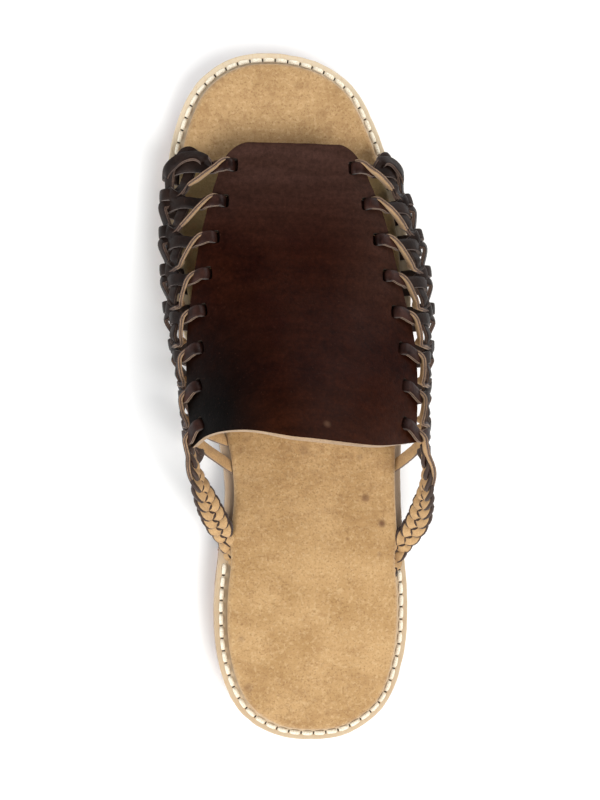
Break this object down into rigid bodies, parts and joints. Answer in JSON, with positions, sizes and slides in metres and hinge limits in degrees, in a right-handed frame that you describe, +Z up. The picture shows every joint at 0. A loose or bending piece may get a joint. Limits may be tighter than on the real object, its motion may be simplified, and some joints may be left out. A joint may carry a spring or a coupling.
{
  "type": "huarache sandal",
  "caption": "Right huarache sandal with an arched leather vamp, sides laced from flat leather strips, padded footbed and stacked leather sole.",
  "frame": {"origin": "on the ground under the centre of the shoe's bounding box", "axes": "+Y along the foot to the toe, +X to the outer side of a right foot, +Z up from the floor"},
  "size_m": [0.1012, 0.255, 0.0745],
  "materials": {
    "footbed": "suede, padded",
    "midsole": "raw edge",
    "outsole": "rough stained edge",
    "half_sole": "sanded edge",
    "heel_lift": "stained edge",
    "heel_top_piece": "sanded edge",
    "vamp": "smooth, lightly oiled",
    "woven_side_medial": "satin",
    "woven_side_lateral": "satin"
  },
  "bodies": {
    "root": {"footbed": "footbed", "midsole": "midsole", "outsole": "outsole", "half_sole": "half_sole", "heel_lift": "heel_lift", "heel_top_piece": "heel_top_piece", "vamp": "vamp", "woven_side_medial": "woven_side_medial", "woven_side_lateral": "woven_side_lateral"}
  },
  "joints": []
}
